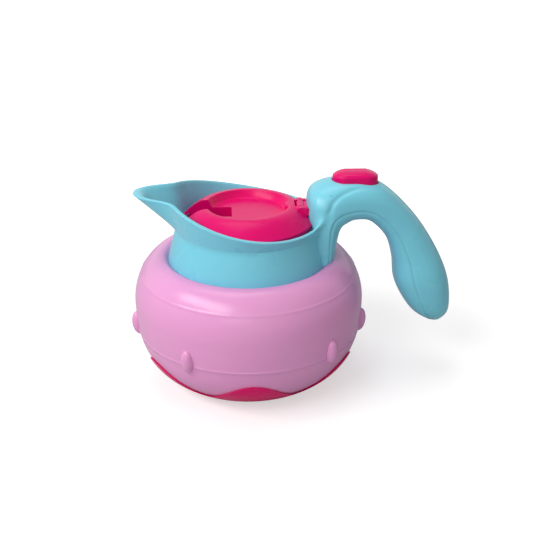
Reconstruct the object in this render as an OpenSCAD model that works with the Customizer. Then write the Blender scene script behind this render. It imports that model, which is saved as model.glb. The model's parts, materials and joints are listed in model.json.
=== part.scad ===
// Toy pouring pot: a round two-part body on a petal dish, a jug collar with a
// beak, a trunk-shaped hollow handle, and a hinged lid tipped by a thumb button.
// The handle points along +X, the beak along -X, and the pot stands on Z = 0.

/* [Body] */
// Largest radius of the round body
belly_r = 55; // [48:0.5:62]
// Height of the widest level above the table
belly_z = 42; // [36:0.5:48]
// Height of the body's rounded shoulder crest
shoulder_z = 63.4; // [60:0.1:70]
// Depth of the collar's seat below the crest
seat_drop = 1.6; // [1:0.1:2]
// Wall thickness of the two bowls
bowl_wall = 2; // [1.5:0.1:2.6]
// Height of the joint between the lower and the upper bowl
split_z = 28; // [25:0.1:33]
// Height of the lap joint's lip
lap_h = 3; // [2:0.1:4]
// Height of the fine groove round the shoulder
ring_groove_z = 55.1; // [50:0.1:58]
// Radius of the fine grooves' round section
groove_r = 0.5; // [0.3:0.05:0.8]

/* [Nubs] */
// Radius of the upright nubs that straddle the bowl joint
nub_r = 3.1; // [2:0.1:4]
// Distance between the centres of a nub's round ends
nub_len = 6; // [3:0.1:9]
// How far a nub stands out of the wall
nub_proud = 2.7; // [1.5:0.1:3]

/* [Dish] */
// Thickness of the dish's floor
dish_floor = 1.6; // [1.2:0.1:2.4]
// How far the petals stand out of the body
dish_proud = 0.7; // [0.6:0.1:1.5]
// Radius of the flat that the pot stands on
rest_r = 29.5; // [27:0.5:34]
// Height of the petal tips
petal_tip_z = 22; // [18:0.5:24]
// Height of the valleys between the petals
petal_valley_z = 13.6; // [8:0.1:16]

/* [Collar] */
// Outer radius of the collar where it sits on the body
neck_r = 38.2; // [37:0.1:39]
// Outer radius at the crease below the flare
crease_r = 34; // [33:0.1:35]
// Height of the tapered band from the body to the crease
band_h = 15.4; // [14:0.1:17]
// Wall thickness of the collar
collar_wall = 2; // [1.6:0.1:2.4]
// Radius of the rim at the sides
rim_r = 36.8; // [36:0.1:40]
// Height of the rim's lowest point above the crease
rim_low = 4; // [3:0.1:6]
// Height of the beak's tip above the crease
beak_rise = 17.4; // [14:0.1:20]
// Distance of the beak's tip from the pot's axis
beak_reach = 53; // [48:0.5:58]
// Height of the spigot that plugs into the body
spigot_h = 5; // [3:0.1:7]

/* [Handle] */
// Distance of the handle's outermost point from the pot's axis
handle_reach = 98.6; // [94:0.5:106]
// Height of the handle's top above the collar's crease
arch_rise = 22.4; // [21:0.1:26]
// Thickness of the arch from its top to its underside
arch_t = 19.3; // [18:0.1:21]
// Height of the handle's free end above the table
handle_end_z = 24; // [18:0.5:30]
// Thickness of the grip at its fullest
grip_t = 25.3; // [22:0.1:28]
// Half width of the head, where the handle leaves the collar
head_w = 15.5; // [15:0.1:17]
// Half width of the arch under the button
arch_w = 12.3; // [12:0.1:13.5]
// Half width of the waist between the arch and the grip
waist_w = 10; // [9:0.1:12]
// Half width of the grip
grip_w = 12.6; // [11:0.1:14]
// Wall thickness of the handle's two shells
handle_wall = 2; // [1.6:0.1:2.2]

/* [Lid] */
// Play between the lid's edge and the collar
lid_play = 1; // [0.6:0.1:2]
// Radius of the lid's raised crest
crest_r = 20.5; // [18:0.1:22]
// Height of the crest above the lid's edge
crest_h = 6.7; // [6:0.1:8]
// Depth of the dish inside the crest
dish_depth = 3.9; // [3:0.1:5]
// Thickness of the lid
lid_t = 2; // [1.6:0.1:2.4]
// Width of the pouring slot
pour_w = 12; // [8:0.1:14]
// Radius of the hinge pin
pin_r = 1.25; // [1:0.05:1.5]

/* [Button] */
// Length of the thumb button
button_l = 21.2; // [20:0.1:23]
// Width of the thumb button
button_w = 12; // [10:0.1:12.5]
// Height of the button above the handle
button_h = 4; // [3.6:0.1:6]
// Outer radius of the button's spring
spring_r = 3.5; // [3:0.1:4]
// Radius of the spring's wire
spring_wire_r = 0.4; // [0.3:0.05:0.5]

/* [Screws] */
// Radius of the screws' shanks
screw_r = 1.4; // [1.2:0.05:1.6]
// Radius of the screws' heads
screw_head_r = 2.7; // [2.4:0.1:3]
// Height of the screws' heads
screw_head_h = 1.8; // [1.4:0.1:2]

/* [Hidden] */
$fn = 96;

// Clearances: between fixed pieces, round a running pin, and between moving pieces
fit = 0.12;
running = 0.05;
free_gap = 0.4;
boss_wall = 1.4;

// Colours
pink = [0.85, 0.53, 0.76];
aqua = [0.45, 0.79, 0.86];
magenta = [0.89, 0.04, 0.42];
steel = [0.75, 0.76, 0.78];

// Levels that follow from the driving sizes
bowl_floor_z = dish_floor + fit;
seat_z = shoulder_z - seat_drop;
crease_z = seat_z + band_h;
dip_w = 2.8;
seat_step = 0.3;
shoulder_r = neck_r + dip_w;
mouth_r = neck_r - collar_wall - seat_step;
handle_top_z = crease_z + arch_rise;
arch_z = handle_top_z - arch_t;

// Round outlines

// Quarter of a rounded outline about the corner [r, z]: half-axes a along R and b along Z, from the
// level point at 0 degrees to the flat at 90; power 2 is an ellipse and a higher one is squarer
function quarter(r, z, a, b, power, from, to, steps) =
    [for (i = [0:steps])
        let (t = from + (to - from) * i / steps)
        [r + a * pow(cos(t), 2 / power), z + b * pow(sin(t), 2 / power)]];

belly_power = 2.8;
shoulder_power = 1.8;
steps_low = 18;
steps_high = 12;
steps_seat = 4;

// The belly's outline would close at this depth under its widest level; the table cuts it off flat
dish_depth_full = belly_z / pow(1 - pow(rest_r / belly_r, belly_power), 1 / belly_power);
bowl_depth_full = dish_depth_full - dish_proud;

// Turn at which an outline of this full depth has dropped to a level
function floor_turn(drop, full) = asin(pow(drop / full, belly_power / 2));

// Lower outline from the floor up to the widest level
function belly_outline(r, full, drop) =
    let (turn = floor_turn(drop, full),
         down = quarter(0, belly_z, r, -full, belly_power, 0, turn, steps_low))
    [for (i = [steps_low:-1:0]) down[i]];

// Radius of the lower body's outer face at a height
function belly_radius(z) =
    belly_r * pow(1 - pow((belly_z - z) / bowl_depth_full, belly_power), 1 / belly_power);

// Radius of the shoulder's outer face at a height
function shoulder_radius(z) =
    shoulder_r + (belly_r - shoulder_r)
    * pow(1 - pow((z - belly_z) / (shoulder_z - belly_z), shoulder_power), 1 / shoulder_power);

// Outline of the body, grown by a distance
function body_outline(grow) = concat(
    [[0, bowl_floor_z - grow]],
    belly_outline(belly_r + grow, bowl_depth_full + grow, belly_z - bowl_floor_z + grow),
    [for (i = [1:steps_high])
        quarter(shoulder_r, belly_z, belly_r - shoulder_r + grow, shoulder_z - belly_z + grow,
                shoulder_power, 0, 90, steps_high)[i]],
    // Rounded dip from the crest in to the collar's seat
    [for (i = [1:steps_seat])
        let (t = i / steps_seat)
        [shoulder_r + (neck_r - shoulder_r) * t, seat_z + grow + seat_drop * cos(90 * t)]],
    [[0, seat_z + grow]]);

module body_solid(grow) {
    rotate_extrude() polygon(body_outline(grow));
}

// The part of the pot above or below a level
module slab(from, to) {
    translate([0, 0, from]) cylinder(h = to - from, r = 2 * belly_r);
}

// A shallow round groove in the body's face
module ring_groove(r, z) {
    rotate_extrude() translate([r, z]) circle(r = groove_r, $fn = 24);
}

// Nubs: upright capsules at these angles from the handle, seen from above
nub_angles = [-10, -48, -122, -172, 122, 48];
nub_lean = 6;
nub_rise = 2.4;

module nubs() {
    nub_z = split_z + nub_rise;
    for (angle = nub_angles)
        rotate([0, 0, angle])
            translate([belly_radius(nub_z) + nub_proud - nub_r, 0, nub_z])
                rotate([0, nub_lean, 0]) {
                    cylinder(h = nub_len, r = nub_r, center = true, $fn = 32);
                    for (side = [-1, 1])
                        translate([0, 0, side * nub_len / 2]) sphere(r = nub_r, $fn = 32);
                }
}

// Both bowls in one, hollow, with the nubs and the two fine grooves
module bowl_wall_solid() {
    difference() {
        union() {
            difference() {
                body_solid(0);
                ring_groove(shoulder_radius(ring_groove_z), ring_groove_z);
                ring_groove(belly_radius(split_z), split_z);
            }
            nubs();
        }
        body_solid(-bowl_wall);
        translate([0, 0, belly_z]) cylinder(h = shoulder_z, r = mouth_r);
    }
}

// Base screws stand on a circle between the rest face and the bowl's floor
base_screw_inset = 12;
base_screw_ring = rest_r - base_screw_inset;
base_screw_count = 3;
base_boss_h = 9;

module at_base_screws() {
    for (i = [0:base_screw_count - 1])
        rotate([0, 0, 60 + 360 * i / base_screw_count])
            translate([base_screw_ring, 0, 0]) children();
}

// Radius of the lap joint between the bowls
lap_r = belly_radius(split_z) - bowl_wall / 2;

module lower_bowl() {
    color(pink) difference() {
        union() {
            intersection() {
                bowl_wall_solid();
                slab(0, split_z);
            }
            // Lip of the lap joint
            translate([0, 0, split_z - 1]) difference() {
                cylinder(h = lap_h + 1, r = lap_r - fit / 2);
                cylinder(h = 3 * lap_h, r = lap_r - bowl_wall / 2, center = true);
            }
            at_base_screws()
                translate([0, 0, bowl_floor_z]) cylinder(h = base_boss_h, r = screw_r + boss_wall, $fn = 32);
        }
        at_base_screws() cylinder(h = bowl_floor_z + base_boss_h - 1, r = screw_r + running, $fn = 32);
    }
}

module upper_bowl() {
    color(pink) difference() {
        intersection() {
            bowl_wall_solid();
            slab(split_z, 2 * shoulder_z);
        }
        // Rebate for the lower bowl's lip
        translate([0, 0, split_z - 1]) cylinder(h = lap_h + 1 + fit, r = lap_r + fit / 2);
    }
}

// Dish with petals

petal_count = 6;
petal_lead = 3;
petal_steps = 16;
petal_overlap = 1;
// Radius just outside the dish's face at the tips, so that neighbouring cuts overlap there
petal_r = petal_overlap + (belly_r + dish_proud)
    * pow(1 - pow((belly_z - petal_tip_z) / dish_depth_full, belly_power), 1 / belly_power);

// Height of the dish's edge at an angle from a valley
function petal_edge(angle) =
    petal_valley_z + (petal_tip_z - petal_valley_z) * (1 - cos(petal_count * angle)) / 2;

// What is cut away above one valley, from one petal's tip to the next
module valley_cut() {
    half = 180 / petal_count;
    reach = belly_r + 2 * nub_r;
    edge = [for (i = [0:petal_steps])
        let (angle = -half + 2 * half * i / petal_steps)
        [petal_r * sin(angle), petal_edge(angle)]];
    top = belly_z;
    rotate([90, 0, 90]) linear_extrude(height = reach)
        polygon(concat(edge, [[petal_r * sin(half), top], [-petal_r * sin(half), top]]));
}

module base_dish() {
    color(magenta) difference() {
        rotate([0, 0, petal_lead]) difference() {
            rotate_extrude() polygon(concat(
                [[0, 0]],
                belly_outline(belly_r + dish_proud, dish_depth_full, belly_z),
                [for (i = [steps_low:-1:0])
                    belly_outline(belly_r + fit, bowl_depth_full + fit, belly_z - dish_floor)[i]],
                [[0, dish_floor]]));
            slab(petal_tip_z, 2 * belly_z);
            for (i = [0:petal_count - 1])
                rotate([0, 0, 360 * i / petal_count]) valley_cut();
        }
        at_base_screws() {
            cylinder(h = 4 * dish_floor, r = screw_r + fit, center = true, $fn = 32);
            cylinder(h = dish_floor, r = screw_head_r + fit, center = true, $fn = 32);
        }
    }
}

// One screw with its head's underside at the origin and its point towards +Z
slot_l = 1.3 * screw_head_r;
slot_w = 0.7;

module screw(length) {
    cylinder(h = length, r = screw_r, $fn = 32);
    difference() {
        translate([0, 0, -screw_head_h]) cylinder(h = screw_head_h, r = screw_head_r, $fn = 32);
        for (turn = [0, 90])
            rotate([0, 0, turn])
                translate([0, 0, -screw_head_h])
                    cube([slot_l, slot_w, screw_head_h], center = true);
    }
}

// The heads sit in the dish's counterbores, above the table
base_screw_l = 8;

module base_screws() {
    color(steel) at_base_screws()
        translate([0, 0, dish_floor / 2 - fit / 2]) intersection() {
            screw(base_screw_l);
            translate([0, 0, -dish_floor / 2]) cylinder(h = 2 * base_screw_l, r = 2 * screw_head_r);
        }
}

// Collar with the beak

rim_count = 64;
beak_angle = 15.3;
beak_power = 2.8;
rim_lean = 1.4;
rim_low_angle = 155;
rim_rise_power = 3.3;
lip_extra = 2;
rim_crowding = 1.5;
lift_from = 143;
lift_to = 165;
lift_up = 3.2;
lift_out = 2.1;

// Angle of one point of the rim from the beak, closer together near the beak
function rim_angle(i) =
    let (share = 2 * i / rim_count - 1)
    180 * sign(share) * pow(abs(share), rim_crowding);

function beak_share(angle) = exp(-pow(abs(angle) / beak_angle, beak_power));

// How far the rim has turned up and out to meet the handle's head, from 0 to 1
function lift_share(angle) =
    let (t = max(0, min(1, (abs(angle) - lift_from) / (lift_to - lift_from))))
    t * t * (3 - 2 * t);

// Height of the rim above the crease: highest at the beak, lowest just before the handle
function rim_height(angle) =
    let (turn = min(abs(angle), rim_low_angle))
    rim_low + (beak_rise - rim_low) * pow(cos(90 * turn / rim_low_angle), rim_rise_power)
    + lift_up * lift_share(angle);

// Radius of the rim's outer edge, less a thickness that grows towards the beak's tip
function rim_radius(angle, inset) =
    rim_r - inset + rim_lean * cos(angle) + lift_out * lift_share(angle)
    + (beak_reach - rim_r - rim_lean - (inset > 0 ? lip_extra : 0)) * beak_share(angle);

function polar(r, angle, z) = [-r * cos(angle), r * sin(angle), z];

// Rows of the flare from its foot in the band up the outside, over the rim and down the inside
flare_foot = 1.2;
flare_bury = 0.2;
function flare_rows() = [
    [for (i = [0:rim_count - 1]) polar(crease_r - flare_bury, rim_angle(i), crease_z - flare_foot)],
    [for (i = [0:rim_count - 1]) polar(crease_r - flare_bury, rim_angle(i), crease_z)],
    [for (i = [0:rim_count - 1])
        let (a = rim_angle(i))
        polar(rim_radius(a, 0), a, crease_z + rim_height(a))],
    [for (i = [0:rim_count - 1])
        let (a = rim_angle(i))
        polar(rim_radius(a, collar_wall), a, crease_z + rim_height(a))],
    [for (i = [0:rim_count - 1])
        polar(crease_r - collar_wall + flare_bury, rim_angle(i), crease_z + collar_wall / 2)],
    [for (i = [0:rim_count - 1])
        polar(crease_r - collar_wall + flare_bury, rim_angle(i), crease_z - flare_foot)]];

// Closed tube of rows, each row a closed ring
module ring_of_rows(rows) {
    n = len(rows[0]);
    m = len(rows);
    polyhedron(
        points = [for (row = rows) each row],
        faces = [for (j = [0:m - 1], i = [0:n - 1], half = [0, 1])
            let (a = j * n + i,
                 b = j * n + (i + 1) % n,
                 c = ((j + 1) % m) * n + (i + 1) % n,
                 d = ((j + 1) % m) * n + i)
            half == 0 ? [a, b, c] : [a, c, d]]);
}

// Ledge that the lid's front edge rests over
ledge_w = 2.2;
ledge_h = 1.4;
ledge_back_x = 14;
lid_sink = 3.8;
lid_edge_z = crease_z + lid_sink;
lid_r = crease_r - collar_wall - lid_play;

module lid_ledge() {
    ledge_top = lid_edge_z - lid_t - free_gap;
    intersection() {
        translate([0, 0, ledge_top - ledge_h]) difference() {
            cylinder(h = ledge_h, r = crease_r - collar_wall / 2);
            cylinder(h = 3 * ledge_h, r = crease_r - collar_wall - ledge_w, center = true);
        }
        translate([ledge_back_x - 4 * neck_r, -2 * neck_r, 0])
            cube([4 * neck_r, 4 * neck_r, 2 * crease_z]);
    }
}

module neck_collar() {
    color(aqua) difference() {
        union() {
            rotate_extrude() polygon([
                [neck_r, seat_z + fit],
                [crease_r, crease_z],
                [crease_r - collar_wall, crease_z],
                [neck_r - collar_wall, seat_z + collar_wall],
                [mouth_r - fit - collar_wall, seat_z],
                [mouth_r - fit - collar_wall, seat_z - spigot_h],
                [mouth_r - fit, seat_z - spigot_h],
                [mouth_r - fit, seat_z + fit]]);
            ring_of_rows(flare_rows());
            lid_ledge();
        }
        handle_core(-fit, 0, 9, 28);
    }
}

// Handle: cross-sections between an outer and an inner edge curve in the plane Y = 0

// How far the front of the handle's head stands inside the collar's foot
head_front = 10.7;

// The arch, the grip and the button's length and place stretch with the handle's reach; the sections
// below are drawn for this distance from the collar's foot to the outermost point
drawn_span = 60.4;
stretch = (handle_reach - neck_r) / drawn_span;
function from_neck(x) = neck_r + x * stretch;
function from_tip(x) = handle_reach - x * stretch;

// Key sections: outer edge x, z, inner edge x, z, and half width
handle_keys = [
    [neck_r - 7.8, seat_z - 1, neck_r + 1, seat_z - 1, head_w - 0.5],
    [neck_r - head_front, crease_z + 7.8, neck_r + 5.1, crease_z - 1.7, head_w],
    [neck_r - 7.8, handle_top_z - 4, neck_r + 9.2, arch_z - 1, head_w - 1.5],
    [from_neck(5.7), handle_top_z, from_neck(13.7), arch_z, arch_w],
    [from_neck(22.7), handle_top_z - 2.2, from_neck(19.7), arch_z - 1.5, arch_w - 1.3],
    [from_tip(22.1), handle_top_z - 15.6, from_tip(33.1), handle_top_z - 29, waist_w],
    [from_tip(10.1), handle_end_z + 43.3, from_tip(29.4), handle_end_z + 35.5, waist_w + 0.8],
    [from_tip(2.1), handle_end_z + 26, from_tip(2.1) - grip_t, handle_end_z + 22.6, grip_w],
    [handle_reach, handle_end_z + 9.5, from_tip(20), handle_end_z + 9.6, grip_w - 2.1],
    [from_tip(4.3), handle_end_z + 2, from_tip(10.6), handle_end_z + 2.6, 4],
    [from_tip(5.9), handle_end_z + 1.2, from_tip(8.2), handle_end_z + 1.4, 1.2]];
handle_power = 2.4;
rows_per_key = 3;
cavity_keys = 8;

// Smooth curve through the key sections, at a place counted in keys
function key_at(s) =
    let (last = len(handle_keys) - 1,
         i = min(floor(s), last - 1),
         t = s - i,
         p0 = handle_keys[max(i - 1, 0)],
         p1 = handle_keys[i],
         p2 = handle_keys[i + 1],
         p3 = handle_keys[min(i + 2, last)])
    0.5 * (2 * p1 + (p2 - p0) * t + (2 * p0 - 5 * p1 + 4 * p2 - p3) * t * t
           + (3 * p1 - p0 - 3 * p2 + p3) * t * t * t);

function signed_pow(v) = sign(v) * pow(abs(v), 2 / handle_power);

// Middle, outward direction and half thickness of the section at a place
function section_mid(k) = [(k[0] + k[2]) / 2, (k[1] + k[3]) / 2];
function section_half(k) = norm([k[0] - k[2], k[1] - k[3]]) / 2;
function section_dir(k) = [k[0] - k[2], k[1] - k[3]] / (2 * section_half(k));

// Point of a section at a turn from its outer edge, set in from the face
function section_point(s, turn, inset) =
    let (k = key_at(s),
         mid = section_mid(k),
         dir = section_dir(k),
         along = (section_half(k) - inset) * signed_pow(cos(turn)),
         across = (k[4] - inset) * signed_pow(sin(turn)))
    [mid[0] + dir[0] * along, across, mid[1] + dir[1] * along];

// Whole cross-sections from one place to another as one closed solid
module handle_core(inset, from, rows, sides) {
    spots = [for (i = [0:rows]) from + i / rows_per_key];
    ring = [for (s = spots, j = [0:sides - 1]) section_point(s, 360 * j / sides, inset)];
    first = [for (j = [sides - 1:-1:0]) j];
    last = [for (j = [0:sides - 1]) rows * sides + j];
    polyhedron(
        points = ring,
        faces = concat([first, last],
            [for (i = [0:rows - 1], j = [0:sides - 1], half = [0, 1])
                let (a = i * sides + j,
                     b = i * sides + (j + 1) % sides,
                     c = (i + 1) * sides + (j + 1) % sides,
                     d = (i + 1) * sides + j)
                half == 0 ? [a, b, c] : [a, c, d]]));
}

// One of the handle's two shells: the sections between two turns, hollow as far as the cavity reaches
// and solid from there to the tip
module handle_half(from_turn, to_turn, sides) {
    rows = rows_per_key * (len(handle_keys) - 1);
    deep = rows_per_key * cavity_keys;
    turns = [for (j = [0:sides]) from_turn + (to_turn - from_turn) * j / sides];
    width = sides + 1;
    outer = [for (i = [0:rows], t = turns) section_point(i / rows_per_key, t, 0)];
    inner = [for (i = [0:deep], t = turns) section_point(i / rows_per_key, t, handle_wall)];
    base = len(outer);
    function out(i, j) = i * width + j;
    function in(i, j) = base + i * width + j;
    polyhedron(
        points = concat(outer, inner),
        faces = concat(
            // Outer skin and inner skin
            [for (i = [0:rows - 1], j = [0:sides - 1], half = [0, 1])
                half == 0 ? [out(i, j), out(i, j + 1), out(i + 1, j + 1)]
                          : [out(i, j), out(i + 1, j + 1), out(i + 1, j)]],
            [for (i = [0:deep - 1], j = [0:sides - 1], half = [0, 1])
                half == 0 ? [in(i, j), in(i + 1, j + 1), in(i, j + 1)]
                          : [in(i, j), in(i + 1, j), in(i + 1, j + 1)]],
            // Open end at the collar
            [for (j = [0:sides - 1], half = [0, 1])
                half == 0 ? [out(0, j), in(0, j + 1), out(0, j + 1)] : [out(0, j), in(0, j), in(0, j + 1)]],
            // Joint faces along both edges
            [for (i = [0:deep - 1], half = [0, 1])
                half == 0 ? [out(i, 0), in(i + 1, 0), in(i, 0)] : [out(i, 0), out(i + 1, 0), in(i + 1, 0)]],
            [for (i = [0:deep - 1], half = [0, 1])
                half == 0 ? [out(i, sides), in(i, sides), in(i + 1, sides)]
                          : [out(i, sides), in(i + 1, sides), out(i + 1, sides)]],
            // End of the cavity, the joint face beyond it, and the tip
            [[for (j = [sides:-1:0]) in(deep, j)]],
            [[out(deep, 0), out(deep + 1, 0), in(deep, 0)],
             [in(deep, 0), out(deep + 1, 0), in(deep, sides)],
             [in(deep, sides), out(deep + 1, 0), out(deep + 1, sides)],
             [in(deep, sides), out(deep + 1, sides), out(deep, sides)]],
            [for (i = [deep + 1:rows - 1], half = [0, 1])
                half == 0 ? [out(i, 0), out(i + 1, sides), out(i, sides)]
                          : [out(i, 0), out(i + 1, 0), out(i + 1, sides)]],
            [[for (j = [0:sides]) out(rows, j)]]));
}

// The joint between the shells runs a little towards the fingers from the middle
joint_turn = 106;
joint_gap = 0.6;

// Local frame of a section: +Z outwards along its direction, the origin at its middle
module at_section(s) {
    k = key_at(s);
    mid = section_mid(k);
    dir = section_dir(k);
    translate([mid[0], 0, mid[1]]) rotate([0, atan2(dir[0], dir[1]), 0]) children();
}

// Places of the two screws that hold the cover, counted in keys
cover_screw_places = [4.35, 7.6];
cover_screw_l = 9;
seat_depth = 3.4;
// The shell's bosses meet the cover's tubes this share of the half thickness below the middle
meeting = 0.28;

module cover_bosses() {
    for (s = cover_screw_places) {
        half = section_half(key_at(s));
        at_section(s) translate([0, 0, -meeting * half + fit])
            cylinder(h = (1 + meeting) * half - handle_wall / 2 - fit, r = screw_r + boss_wall, $fn = 32);
    }
}

// Button, its opening and what it works, all from these places
pin_ahead = 2.8;
pin_rise = 4.4;
pin_x = neck_r - head_front - pin_ahead;
pin_z = lid_edge_z + pin_rise;
ear_r = 2.4;
button_back = 11.8;
button_x = neck_r + button_back * stretch;
button_long = button_l * stretch;
tail_arm = 6.1;
tail_l = 7;
tail_t = 2.6;
nose_w = 7.6;
nose_flat = 0.6;
ear_w = 2.8;
ear_cap = 0.7;
window_w = nose_w + 2 * (ear_w + 2 * free_gap);
window_drop = 6.4;
window_depth = 7.4;

// Stadium outline with round ends, lying along X
module stadium(length, width, height) {
    straight = length - width;
    translate([-straight / 2, -width / 2, 0]) cube([straight, width, height]);
    for (side = [-1, 1])
        translate([side * straight / 2, 0, 0]) cylinder(h = height, r = width / 2, $fn = 48);
}

// Screws of the hinge block go up into two bosses that hang in the head
block_back = 0.3;
block_drop = 3.8;
block_screw_x = neck_r - block_back;
block_screw_y = 9.2;
block_z = pin_z - block_drop;
block_t = 2;
block_screw_l = 7;

module block_bosses() {
    for (side = [-1, 1])
        translate([block_screw_x, side * block_screw_y, block_z + block_t + fit])
            cylinder(h = handle_top_z - block_z, r = screw_r + boss_wall / 2, $fn = 32);
}

module handle_shell() {
    color(aqua) difference() {
        union() {
            handle_half(-joint_turn, joint_turn, 22);
            intersection() {
                union() {
                    cover_bosses();
                    block_bosses();
                }
                handle_core(handle_wall / 2, 0, rows_per_key * cavity_keys, 28);
            }
        }
        body_solid(fit);
        // Opening of the button
        translate([button_x, 0, handle_top_z - button_long / 2])
            stadium(button_long + 2 * free_gap, button_w + 2 * free_gap, button_long);
        // Window for the hinge nose and the lid's tails
        translate([pin_x, -window_w / 2, pin_z - window_drop])
            cube([window_depth, window_w, window_drop + ear_r - nose_flat]);
        for (s = cover_screw_places)
            at_section(s) translate([0, 0, -section_half(key_at(s))])
                cylinder(h = seat_depth + cover_screw_l + 1, r = screw_r + running, $fn = 32);
        for (side = [-1, 1])
            translate([block_screw_x, side * block_screw_y, block_z])
                cylinder(h = block_screw_l + 1, r = screw_r + running, $fn = 32);
    }
}

spring_back = 3;
spring_seat_h = 2.4;
post_play = 0.8;
post_h = 2;
skirt_h = 7;
spring_x = button_x + spring_back * stretch;
spring_foot_z = arch_z + handle_wall + spring_seat_h;
button_flange_t = 1.8;
button_flange_z = handle_top_z - skirt_h;
post_r = spring_r - 2 * spring_wire_r - post_play;

module handle_cover() {
    turn = joint_turn + joint_gap;
    color(aqua) difference() {
        union() {
            handle_half(turn, 360 - turn, 16);
            intersection() {
                union() {
                    // Tubes that the screw heads sink into
                    for (s = cover_screw_places)
                        at_section(s) translate([0, 0, -section_half(key_at(s))])
                            cylinder(h = (1 - meeting) * section_half(key_at(s)) - fit,
                                     r = screw_head_r + boss_wall, $fn = 32);
                    // Seat and post of the button's spring
                    translate([spring_x, 0, arch_z - handle_wall])
                        cylinder(h = spring_foot_z - arch_z + handle_wall, r = spring_r + 1, $fn = 32);
                    translate([spring_x, 0, arch_z])
                        cylinder(h = spring_foot_z - arch_z + post_h, r = post_r, $fn = 32);
                }
                handle_core(handle_wall / 2, 0, rows_per_key * cavity_keys, 28);
            }
        }
        body_solid(fit);
        for (s = cover_screw_places)
            at_section(s) translate([0, 0, -section_half(key_at(s))]) {
                cylinder(h = 2 * seat_depth, r = screw_head_r + fit, center = true, $fn = 32);
                cylinder(h = 2 * section_half(key_at(s)), r = screw_r + fit, $fn = 32);
            }
    }
}

module handle_screws() {
    color(steel) for (s = cover_screw_places)
        at_section(s) translate([0, 0, seat_depth - section_half(key_at(s)) - fit])
            screw(cover_screw_l);
}

// Hinge

pin_grip = 0.02;
plate_l = 5.8;
plate_ahead = 3.8;
plate_x = neck_r - plate_ahead;

module hinge_block() {
    plate_w = 2 * (block_screw_y + screw_r + boss_wall / 2);
    color(magenta) difference() {
        union() {
            // Plate under the two bosses
            translate([plate_x, -plate_w / 2, block_z]) cube([plate_l, plate_w, block_t]);
            // Rib that carries the nose out through the window
            translate([pin_x, -nose_w / 2, pin_z - ear_r])
                cube([plate_x + plate_l - pin_x, nose_w, 2 * ear_r - nose_flat]);
            translate([plate_x, -nose_w / 2, block_z]) cube([plate_l, nose_w, pin_z - block_z]);
            // Rounded nose round the pin
            translate([pin_x, 0, pin_z]) rotate([90, 0, 0])
                cylinder(h = nose_w, r = ear_r, center = true, $fn = 48);
        }
        translate([pin_x, 0, pin_z]) rotate([90, 0, 0])
            cylinder(h = 2 * nose_w, r = pin_r + pin_grip, center = true, $fn = 48);
        for (side = [-1, 1])
            translate([block_screw_x, side * block_screw_y, block_z])
                cylinder(h = 3 * block_t, r = screw_r + fit, center = true, $fn = 32);
    }
}

module block_screws() {
    color(steel) for (side = [-1, 1])
        translate([block_screw_x, side * block_screw_y, block_z - fit / 2])
            screw(block_screw_l);
}

module lid_pin() {
    length = nose_w + 2 * (free_gap + ear_w - ear_cap - fit);
    color(steel) translate([pin_x, 0, pin_z]) rotate([90, 0, 0])
        cylinder(h = length, r = pin_r, center = true, $fn = 48);
}

// Lid: a raised ring crest between the edge and a dish, cut by the pouring slot
crest_z = lid_edge_z + crest_h;
crest_half_w = 3.4;
head_curve_r = 34;
lid_head_gap = 0.5;
dish_side_w = 5.5;
dish_steps = 8;
slope_steps = 10;
slope_power = 0.9;
pour_from = 7.5;
pour_wall = 1.6;
pour_drop = 4.2;
nose_slot_l = 6;
ear_fill_h = 1.8;

// Outline of the lid's upper face from the middle to the edge, lowered by a thickness
function lid_outline(drop) = concat(
    [[0, crest_z - dish_depth - drop]],
    [for (i = [0:dish_steps])
        let (t = i / dish_steps)
        [crest_r - dish_side_w + (dish_side_w - crest_half_w / 2) * t,
         crest_z - dish_depth * (1 + cos(180 * t)) / 2 - drop]],
    [for (i = [1:slope_steps])
        let (t = i / slope_steps)
        [crest_r + crest_half_w / 2 + (lid_r - crest_r - crest_half_w / 2) * t,
         lid_edge_z + crest_h * cos(90 * pow(t, slope_power)) - drop]]);

// Walls down both sides of the pouring slot and across its inner end, inside the collar's ledge
module pour_walls() {
    foot_z = lid_edge_z - pour_drop;
    wall_r = crease_r - collar_wall - ledge_w - 2 * free_gap;
    intersection() {
        rotate_extrude() polygon(concat(
            [[0, foot_z]],
            [for (p = lid_outline(lid_t / 2)) if (p[0] < wall_r) p],
            [[wall_r, foot_z]]));
        translate([-2 * lid_r, -pour_w / 2 - pour_wall, 0])
            cube([2 * lid_r - pour_from + pour_wall, pour_w + 2 * pour_wall, 2 * crest_z]);
    }
}

module lid() {
    upper = lid_outline(0);
    lower = lid_outline(lid_t);
    ear_y = nose_w / 2 + free_gap;
    color(magenta) difference() {
        union() {
            difference() {
                rotate_extrude() polygon(concat(upper, [for (i = [len(lower) - 1:-1:0]) lower[i]]));
                // Back edge follows the round front of the handle's head
                translate([pin_x + pin_ahead - lid_head_gap + head_curve_r, 0, 0])
                    cylinder(h = 2 * crest_z, r = head_curve_r);
            }
            pour_walls();
            // Ears round the pin and their tails inside the head
            for (side = [-1, 1])
                translate([pin_x, side * (ear_y + ear_w / 2), pin_z]) {
                    rotate([90, 0, 0]) cylinder(h = ear_w, r = ear_r, center = true, $fn = 48);
                    translate([0, -ear_w / 2, -tail_t / 2]) cube([tail_l, ear_w, tail_t]);
                    translate([-nose_slot_l, -ear_w / 2, -ear_r])
                        cube([nose_slot_l, ear_w, ear_fill_h * ear_r]);
                }
        }
        // Pouring slot from the dish out through the crest
        translate([-2 * lid_r, -pour_w / 2, 0]) cube([2 * lid_r - pour_from, pour_w, 2 * crest_z]);
        // Slot for the hinge nose
        translate([pin_x - nose_slot_l, -ear_y, 0]) cube([lid_r, 2 * ear_y, 2 * crest_z]);
        translate([pin_x, 0, pin_z]) rotate([90, 0, 0])
            cylinder(h = nose_w + 2 * (free_gap + ear_w - ear_cap), r = pin_r + running, center = true,
                     $fn = 48);
    }
}

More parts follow.
